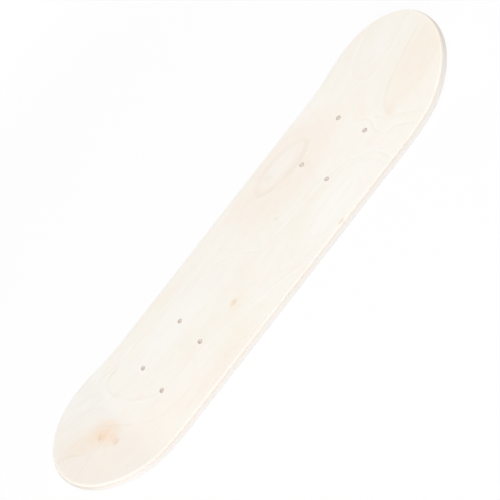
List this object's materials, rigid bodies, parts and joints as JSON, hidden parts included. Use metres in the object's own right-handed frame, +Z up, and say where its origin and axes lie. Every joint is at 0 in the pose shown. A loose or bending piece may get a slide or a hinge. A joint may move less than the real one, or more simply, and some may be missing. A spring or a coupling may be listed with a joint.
{
  "type": "skateboard deck",
  "caption": "Bare wooden skateboard deck of pressed veneers with upturned nose and tail, rounded rails and truck bolt holes, on which trucks and wheels are mounted.",
  "frame": {"origin": "on the ground under the middle of the deck, at the middle of the flat underside", "axes": "+X to the nose, +Y to the left rail, +Z up through the top face"},
  "size_m": [0.5994, 0.148, 0.0369],
  "materials": {
    "maple_face": "sanded, pale, fine rotary-cut grain along the deck",
    "maple_core": "sanded edge of long-grain veneer",
    "maple_cross_band": "sanded end grain of cross-grain veneer",
    "cured_glue": "thin hard film"
  },
  "bodies": {
    "root": {"top_face_ply": "maple_face", "glue_line_1": "cured_glue", "top_core_ply": "maple_core", "glue_line_2": "cured_glue", "top_cross_band": "maple_cross_band", "glue_line_3": "cured_glue", "centre_core_ply": "maple_core", "glue_line_4": "cured_glue", "bottom_cross_band": "maple_cross_band", "glue_line_5": "cured_glue", "bottom_core_ply": "maple_core", "glue_line_6": "cured_glue", "bottom_face_ply": "maple_face"}
  },
  "joints": []
}
